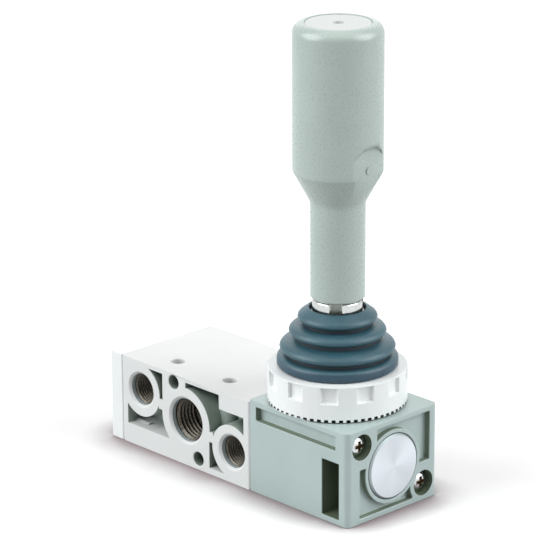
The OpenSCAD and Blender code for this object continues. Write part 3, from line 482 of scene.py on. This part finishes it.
crispWall = {"valve_block": blockWall, "lever_housing": counterboreWall}
pickFinish = {"valve_block": blockFinish, "lock_nut": nutFinish, "ring_nut": ringFinish,
              "lever_housing": housingFinish}
for nodeName, look in softened.items():
    bm = softenedMesh(nodeName, look["edgeRound"], crispWall.get(nodeName))
    turn = Matrix.Rotation(math.radians(look.get("turn", 0)), 3, "Z")
    bmesh.ops.rotate(bm, verts=bm.verts, cent=(0, 0, 0), matrix=turn)
    if nodeName == "valve_block":       # the bores get a cut where their smooth mouth ends
        for way in (-1, 1):
            walls = [f for f in bm.faces if f.calc_center_median().y * way > 0
                     and blockFinish(f.calc_center_median(), f.normal) == 1]
            parts = list({v for f in walls for v in f.verts}) + list({e for f in walls for e in f.edges}) + walls
            bmesh.ops.bisect_plane(bm, geom=parts, dist=0.001 * mm,
                                   plane_co=(0, way * blockShape["mouthFrom"] * mm, 0), plane_no=(0, 1, 0))
    count = len(bm.faces)
    piece = placePiece(bm, look["piece"], look["body"], look["finish"])
    if nodeName in pickFinish:
        for face in piece.data.polygons:
            face.material_index = pickFinish[nodeName](face.center, face.normal)
    even = piece.modifiers.new("even_shading", "WEIGHTED_NORMAL")
    even.keep_sharp = True
    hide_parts(nodeName)
    print("hand valve:", look["piece"], count, "faces")


# spins an outline of (radius, height) points about an axis into a closed round body
def spunBody(outline, axisPoint, axis, steps):
    bm = bmesh.new()
    side = axis.orthogonal().normalized()
    verts = [bm.verts.new(axisPoint + side * r * mm + axis * h * mm) for r, h in outline]
    edges = [bm.edges.new(pair) for pair in zip(verts, verts[1:])]
    bmesh.ops.spin(bm, geom=verts + edges, cent=axisPoint, axis=axis, angle=2 * math.pi, steps=steps,
                   use_merge=True)
    bmesh.ops.remove_doubles(bm, verts=bm.verts, dist=0.002 * mm)
    bmesh.ops.recalc_face_normals(bm, faces=bm.faces)
    return bm


def cutWith(piece, cutter):
    change = piece.modifiers.new("recess", "BOOLEAN")
    change.operation, change.object, change.solver, change.use_self = "DIFFERENCE", cutter, "EXACT", True
    cutMesh = bpy.data.meshes.new_from_object(piece.evaluated_get(bpy.context.evaluated_depsgraph_get()))
    piece.modifiers.clear()
    piece.data = cutMesh
    bpy.data.objects.remove(cutter)


# bellows: each fold is a sloping shelf, a round edge and a wall tucked in above the next shelf
bellowsLook = {
    "rims": (11.25, 13.75, 16.35, 17.15), "levels": (53.05, 48.95, 44.3, 40.85), "steps": 96,
    "edge": ((-1.2, 1.5), (-0.55, 1.05), (-0.12, 0.5), (0.0, 0.05), (-0.1, -0.35), (-0.5, -0.85), (-1.5, -1.35)),
    "shelfIn": 1.5, "shelfUp": (0, 1.9, 2.4, 1.25), "lastEdge": slice(1, 4),       # the last edge runs on as a wall
    "cup": ((7.85, 53.5), (7.85, 55.45), (8.15, 55.75), (9.0, 55.35)),
    "foot": ((17.15, 39.45), (16.85, 38.95), (15.0, 38.95), (15.0, 37.3), (16.2, 37.3), (16.2, 36.0),
             (13.3, 36.0)),
    "inside": ((13.3, 43.6), (10.9, 45.2), (10.7, 48.6), (8.5, 49.6), (8.1, 51.0), (8.1, 52.0), (4.25, 52.0),
               (4.25, 53.5), (7.85, 53.5)),
    "tuckedFrom": 1.6, "tuckedTo": 0.7, "skirtBelow": 0.3, "stillBelow": 39.5, "tiltedAbove": 54.0,
}
folds = []
for i, (rim, level) in enumerate(zip(bellowsLook["rims"], bellowsLook["levels"])):
    if i:
        folds.append((bellowsLook["rims"][i - 1] - bellowsLook["shelfIn"], level + bellowsLook["shelfUp"][i]))
    last = i == len(bellowsLook["rims"]) - 1
    edge = bellowsLook["edge"][bellowsLook["lastEdge"]] if last else bellowsLook["edge"]
    folds += [(rim + dr, level + dz) for dr, dz in edge]
bm = spunBody([*bellowsLook["cup"], *folds, *bellowsLook["foot"], *bellowsLook["inside"]], Vector((0, 0, 0)),
              Vector((0, 0, 1)), bellowsLook["steps"])
bellows = placePiece(bm, "bellows_folds", None,
                     ["blue-grey rubber bellows", "blue-grey rubber, painted shade under a fold", "blue-grey rubber, skirt, painted shade"], 50)
for face in bellows.data.polygons:      # painted shade: the walls tucked in under the edges see no light
    outwards = face.normal.x * face.center.x + face.normal.y * face.center.y > 0
    reach = math.hypot(face.center.x, face.center.y) / mm
    tucked = any(rim - bellowsLook["tuckedFrom"] < reach < rim - bellowsLook["tuckedTo"]
                 for rim in bellowsLook["rims"][:3])
    skirt = outwards and face.center.z < (bellowsLook["levels"][3] + bellowsLook["skirtBelow"]) * mm
    face.material_index = 2 if skirt else int(outwards and tucked and face.normal.z < 0.3)
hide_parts("bellows")
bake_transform(bellows)
print("hand valve: bellows made")


# grip: spun stem, cone and barrel with soft changes of width, then the spot face cut low on the barrel
gripShape = {
    "outline": ((5.93, 58.7, 0), (7.3, 58.7, 0), (7.72, 59.1, 0), (7.72, 86.7, 5.0), (12.66, 95.65, 1.6),
                (12.66, 137.45, 3.0), (9.31, 137.45, 0), (9.31, 135.05, 0), (8.11, 135.05, 0), (10.46, 132.65, 0),
                (10.46, 96.65, 0), (5.32, 88.7, 0), (4.4, 86.7, 0), (4.4, 70.7, 0), (5.93, 70.7, 0),
                (5.93, 58.7, 0)),
    "steps": 120, "arcSteps": 6, "barrel": 12.66, "rings": (97.5, 99.5, 101.5, 103.5, 105.5, 110.0),
    "spotTurn": 3.0, "spotReach": 11.2, "spotHeight": 97.55, "spotRadius": 6.8, "spotCut": 8, "spotSteps": 64,
    "pip": 1.0, "pipRise": 0.35,
}


# an outline's corners (radius, height, rounding) as points, with each rounding as an arc
def roundedOutline(corners):
    points = []
    for i, (r, h, rounding) in enumerate(corners):
        here = Vector((r, h))
        if not rounding:
            points.append((r, h))
            continue
        before, after = ((Vector(corners[j][:2]) - here).normalized() for j in (i - 1, i + 1))
        half = before.angle(after) / 2
        run = rounding / math.tan(half)
        start, end = here + before * run, here + after * run
        middle = here + (before + after).normalized() * (rounding / math.sin(half))
        for k in range(gripShape["arcSteps"] + 1):
            chord = start.lerp(end, k / gripShape["arcSteps"]) - middle
            points.append(tuple(middle + chord.normalized() * rounding))
    return points


outline = roundedOutline(gripShape["outline"])
at = next(i for i, p in enumerate(outline) if p[1] > max(gripShape["rings"]))
outline[at:at] = [(gripShape["barrel"], h) for h in gripShape["rings"]]
bm = spunBody(outline, Vector((0, 0, 0)), Vector((0, 0, 1)), gripShape["steps"])
grip = placePiece(bm, "grip_body", "lever", ["grey PBT, grip"], 26)
spotTurn = math.radians(gripShape["spotTurn"])
towards = Vector((math.cos(spotTurn), math.sin(spotTurn), 0))
spotMiddle = towards * gripShape["spotReach"] * mm + Vector((0, 0, gripShape["spotHeight"] * mm))
pip, rise, spot, cut = (gripShape[key] for key in ("pip", "pipRise", "spotRadius", "spotCut"))
bm = spunBody([(0, rise), (pip, rise), (pip, 0), (spot, 0), (spot, cut), (0, cut)], spotMiddle, towards,
              gripShape["spotSteps"])
cutWith(grip, placePiece(bm, "spot_cutter", None, []))
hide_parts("grip")
print("hand valve: grip made")


# threads of the ports: a helical ridge in every bore
threadLook = {
    "wide": {"wall": 6.56, "crest": 5.75, "pitch": 1.337},
    "slim": {"wall": 4.84, "crest": 4.28, "pitch": 0.907},
    "depth": 9.0, "mouthGap": 1.8, "stepsPerTurn": 40, "crestHalf": 0.14, "rootGap": 0.01,
}
for pieceName, (size, x, y, z) in ports.items():
    kind = threadLook[size]
    inward = Vector((0, -1 if y > 0 else 1, 0))
    mouth = Vector((x, y, z)) * mm + inward * threadLook["mouthGap"] * mm
    turns = int((threadLook["depth"] - threadLook["mouthGap"]) / kind["pitch"])
    steps = turns * threadLook["stepsPerTurn"]
    half = kind["pitch"] / 2
    ridge = [(kind["wall"], threadLook["rootGap"]), (kind["crest"], half * (1 - threadLook["crestHalf"])),
             (kind["crest"], half * (1 + threadLook["crestHalf"])),
             (kind["wall"], kind["pitch"] - threadLook["rootGap"])]
    bm = bmesh.new()
    verts = [bm.verts.new(mouth + Vector((1, 0, 0)) * r * mm + inward * h * mm) for r, h in ridge]
    bmesh.ops.spin(bm, geom=[bm.faces.new(verts)], cent=mouth, axis=inward, angle=2 * math.pi * turns, steps=steps,
                   dvec=inward * kind["pitch"] * mm * turns / steps, use_duplicate=False)
    bmesh.ops.recalc_face_normals(bm, faces=bm.faces)
    placePiece(bm, pieceName, "valve", ["cut thread in die-cast metal"], 50)
print("hand valve: threads cut")


# centring springs, copied as they are from their nodes; the table gives where one end rests on the body and where
# the spool pushes the other, and is not used
springLook = {"plug_side_spring": (17.3, 12.6), "block_side_spring": (-17.3, -12.6)}
for nodeName, (heldAt, pushedAt) in springLook.items():
    spring = placePiece(mergedCopy(nodeName, 0.002), nodeName + "_coil", None,
                        ["drawn spring wire"], 60)
    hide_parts(nodeName)
    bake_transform(spring)
print("hand valve: springs made")


# screws with domed heads and a cross recess
crossLook = {"arm": 0.72, "width": 0.5, "taper": 0.62, "depth": 0.55}       # as shares of the head
headLook = {"rim": 0.3, "domeFrom": 0.42, "domeSteps": 7, "tipWidth": 0.6, "tipLength": 0.8, "steps": 40}


def crossCutter(middle, way, headRadius, height):
    bm = bmesh.new()
    depth, arm, width = crossLook["depth"] * height, crossLook["arm"] * headRadius, crossLook["width"] * headRadius
    for turn in (0, math.pi / 2):
        made = bmesh.ops.create_cube(bm, size=1.0)["verts"]
        bmesh.ops.scale(bm, verts=made, vec=(2 * depth * mm, 2 * arm * mm, width * mm))
        for v in made:      # the recess narrows towards its floor
            if v.co.x * way < 0:
                v.co.y *= crossLook["taper"]
                v.co.z *= crossLook["taper"]
        bmesh.ops.rotate(bm, verts=made, cent=(0, 0, 0), matrix=Matrix.Rotation(turn, 3, "X"))
    bmesh.ops.translate(bm, verts=bm.verts, vec=middle)
    mesh = bpy.data.meshes.new("cross_cutter")
    bm.to_mesh(mesh)
    bm.free()
    cutter = bpy.data.objects.new("cross_cutter", mesh)
    bpy.context.scene.collection.objects.link(cutter)
    return cutter


for setName, look in screwLook.items():
    for number, (y, z) in enumerate(look["places"], 1):
        way, rimRadius, radius, height = look["way"], look["head"], look["radius"], look["height"]
        length = abs(look["seat"] - look["tip"])
        domeFrom, domeSteps = headLook["domeFrom"], headLook["domeSteps"]
        dome = [(rimRadius * math.sin(a), height * (domeFrom + (1 - domeFrom) * math.cos(a)))
                for a in (math.pi / 2 * (1 - k / domeSteps) for k in range(domeSteps))] + [(0, height)]
        outline = [(0, -length), (radius * headLook["tipWidth"], -length),
                   (radius, -length + headLook["tipLength"]), (radius, 0), (rimRadius, 0),
                   (rimRadius, height * headLook["rim"])] + dome
        bm = spunBody(outline, Vector((look["seat"], y, z)) * mm, Vector((way, 0, 0)), headLook["steps"])
        screw = placePiece(bm, f"{setName}_screw_{number}", "valve",
                           ["zinc plated steel", "screw recess, painted shade"], 35)
        top = Vector((look["seat"] + way * height, y, z)) * mm
        cutWith(screw, crossCutter(top, way, rimRadius, height))
        for face in screw.data.polygons:        # painted shade: the recess is darker, on its floor and its sides
            off = (face.center - top) / mm
            sunk = -off.x * way / height
            facing = abs(face.normal.x)
            inCross = math.hypot(off.y, off.z) < 0.7 * rimRadius and 0.12 < sunk < 1
            if inCross and (facing < 0.45 or (facing > 0.99 and sunk > 0.3)):
                face.material_index = 1
        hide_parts("housing_screws" if setName == "housing" else "end_cap_screws")
print("hand valve: screws made")


# end plug: turned face with a small chamfer
plugShape = {"face": 22.4, "radius": 9.5, "chamfer": 0.5, "head": 19.0, "tip": 17.4, "spigot": 6.87,
             "grooveFrom": 17.75, "grooveTo": 18.85, "waist": 5.8, "steps": 96}
spigot, waist, radius, chamfer = (plugShape[key] for key in ("spigot", "waist", "radius", "chamfer"))
outline = [(0, plugShape["tip"]), (spigot, plugShape["tip"]), (spigot, plugShape["grooveFrom"]),
           (waist, plugShape["grooveFrom"]), (waist, plugShape["grooveTo"]), (spigot, plugShape["grooveTo"]),
           (spigot, plugShape["head"]), (radius, plugShape["head"]), (radius, plugShape["face"] - chamfer),
           (radius - chamfer, plugShape["face"]), (0, plugShape["face"])]
bm = spunBody(outline, Vector((0, 0, plugLook["middleZ"] * mm)), Vector((1, 0, 0)), plugShape["steps"])
plug = placePiece(bm, "plug_turned", "valve", ["faced aluminium", "turned bevel, painted shade"])
# painted shade: the faces of the rim get the grey bevel finish
for face in plug.data.polygons:
    face.material_index = int(abs(face.normal.x) < 0.9)
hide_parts("end_plug")
print("hand valve: end plug turned")


# stage, light and camera
stageLook = {"floorRadius": 3.0, "floorDrop": 0.03, "glow": (0.24, 0.20, 0.21), "seenLevel": 1.12, "bounce": 0.42,
             "ambient": (0.05, 0.05, 0.05), "backdrop": (1.0, 1.0, 1.0),
             "paintedShadowReach": 12.5, "paintedShadowTint": (0.30, 0.24, 0.252)}
bm = bmesh.new()
bmesh.ops.create_circle(bm, cap_ends=True, segments=96, radius=stageLook["floorRadius"])
bmesh.ops.translate(bm, verts=bm.verts, vec=(0, 0, -stageLook["floorDrop"] * mm))
mesh = bpy.data.meshes.new("floor")
bm.to_mesh(mesh)
bm.free()
floor = bpy.data.objects.new("floor", mesh)
bpy.context.scene.collection.objects.link(floor)

paper = bpy.data.materials.new("white backdrop paper")
paper.use_nodes = True
tree = paper.node_tree
tree.nodes.clear()


# one where the camera, a mirror image or a view through something meets the surface, else nought
def seenDirectly(tree):
    path = addNode(tree, "ShaderNodeLightPath")
    pair = addNode(tree, "ShaderNodeMath", {"operation": "MAXIMUM"},
                   {0: path.outputs["Is Camera Ray"], 1: path.outputs["Is Glossy Ray"]})
    return addNode(tree, "ShaderNodeMath", {"operation": "MAXIMUM"},
                   {0: pair.outputs["Value"], 1: path.outputs["Is Transmission Ray"]}).outputs["Value"]


# the paper as the camera sees it, times a tint
def paperShader(tint):
    light = [g * t for g, t in zip(stageLook["glow"], tint)] + [1.0]
    colour = [(stageLook["seenLevel"] - g) * t for g, t in zip(stageLook["glow"], tint)] + [1.0]
    return addNode(tree, "ShaderNodeAddShader", {}, {
        0: addNode(tree, "ShaderNodeEmission", {"Color": light, "Strength": 1.0}).outputs["Emission"],
        1: addNode(tree, "ShaderNodeBsdfDiffuse", {"Color": colour}).outputs["BSDF"]}).outputs["Shader"]


# painted shadow: close to the object the paper is darker, which the wide lamps alone would leave too faint
openPaper = addNode(tree, "ShaderNodeMapRange", {"From Min": 0.5, "From Max": 1.0},
                    {"Value": opennessAt(tree, stageLook["paintedShadowReach"])}).outputs["Result"]
seenShader = addNode(tree, "ShaderNodeMixShader", {}, {0: openPaper, 1: paperShader(stageLook["paintedShadowTint"]),
                                                       2: paperShader((1.0, 1.0, 1.0))})
unseenShader = addNode(tree, "ShaderNodeBsdfDiffuse", {"Color": [stageLook["bounce"]] * 3 + [1.0]})
mixed = addNode(tree, "ShaderNodeMixShader", {}, {0: seenDirectly(tree), 1: unseenShader.outputs["BSDF"],
                                                  2: seenShader.outputs["Shader"]})
addNode(tree, "ShaderNodeOutputMaterial", {}, {"Surface": mixed.outputs["Shader"]})
floor.data.materials.append(paper)

world = bpy.data.worlds.new("studio")
bpy.context.scene.world = world
world.use_nodes = True
tree = world.node_tree
tree.nodes.clear()
soft = addNode(tree, "ShaderNodeBackground", {"Color": list(stageLook["ambient"]) + [1.0], "Strength": 1.0})
white = addNode(tree, "ShaderNodeBackground", {"Color": list(stageLook["backdrop"]) + [1.0], "Strength": 1.0})
mixed = addNode(tree, "ShaderNodeMixShader", {}, {0: seenDirectly(tree), 1: soft.outputs["Background"],
                                                  2: white.outputs["Background"]})
addNode(tree, "ShaderNodeOutputWorld", {}, {"Surface": mixed.outputs["Shader"]})

cameraLook = {"azimuth": 46.28, "elevation": 18.67, "distance": 866.0, "target": (-25.32, 0.0, 58.82),
              "lens": 198.66, "sensor": 36.0, "roll": -0.27}
azimuth, elevation = math.radians(cameraLook["azimuth"]), math.radians(cameraLook["elevation"])
flatBack = Vector((math.sin(azimuth), -math.cos(azimuth), 0))
back = flatBack * math.cos(elevation) + Vector((0, 0, math.sin(elevation)))
right = Vector((math.cos(azimuth), math.sin(azimuth), 0))
up = back.cross(right)
roll = math.radians(cameraLook["roll"])
rolledRight = right * math.cos(roll) + up * math.sin(roll)
rolledUp = back.cross(rolledRight)
camera = bpy.data.objects.new("camera", bpy.data.cameras.new("camera"))
bpy.context.scene.collection.objects.link(camera)
turned = Matrix((rolledRight, rolledUp, back)).transposed().to_4x4()
away = Vector(cameraLook["target"]) + back * cameraLook["distance"]
camera.matrix_world = Matrix.Translation(away * mm) @ turned
camera.data.sensor_width, camera.data.lens = cameraLook["sensor"], cameraLook["lens"]
camera.data.clip_start, camera.data.clip_end = 0.01, 10.0
bpy.context.scene.camera = camera

# soft boxes as wide suns: side is degrees to the camera's right, power is the light on a face turned to it
lampLook = {
    "top_softbox": {"side": 0, "height": 80, "width": 80, "power": 0.37, "colour": (1.03, 1.0, 0.985)},
    "back_softbox": {"side": 180, "height": 24, "width": 50, "power": 0.10, "colour": (1.0, 1.0, 1.0)},
    "left_softbox": {"side": -76, "height": 26, "width": 52, "power": 0.75, "colour": (0.96, 1.0, 1.01)},
    "right_softbox": {"side": 76, "height": 26, "width": 52, "power": 0.68, "colour": (0.96, 1.0, 1.01)},
}
for lampName, look in lampLook.items():
    side, height = math.radians(look["side"]), math.radians(look["height"])
    toLamp = flatBack * math.cos(side) + right * math.sin(side)
    toLamp = toLamp * math.cos(height) + Vector((0, 0, math.sin(height)))
    sun = bpy.data.lights.new(lampName, "SUN")
    sun.energy, sun.angle, sun.color = look["power"] * math.pi, math.radians(look["width"]), look["colour"]
    lamp = bpy.data.objects.new(lampName, sun)
    bpy.context.scene.collection.objects.link(lamp)
    lamp.rotation_euler = toLamp.to_track_quat("Z", "Y").to_euler()

bpy.context.scene.view_settings.view_transform = "Standard"
print("hand valve: stage, light and camera set")
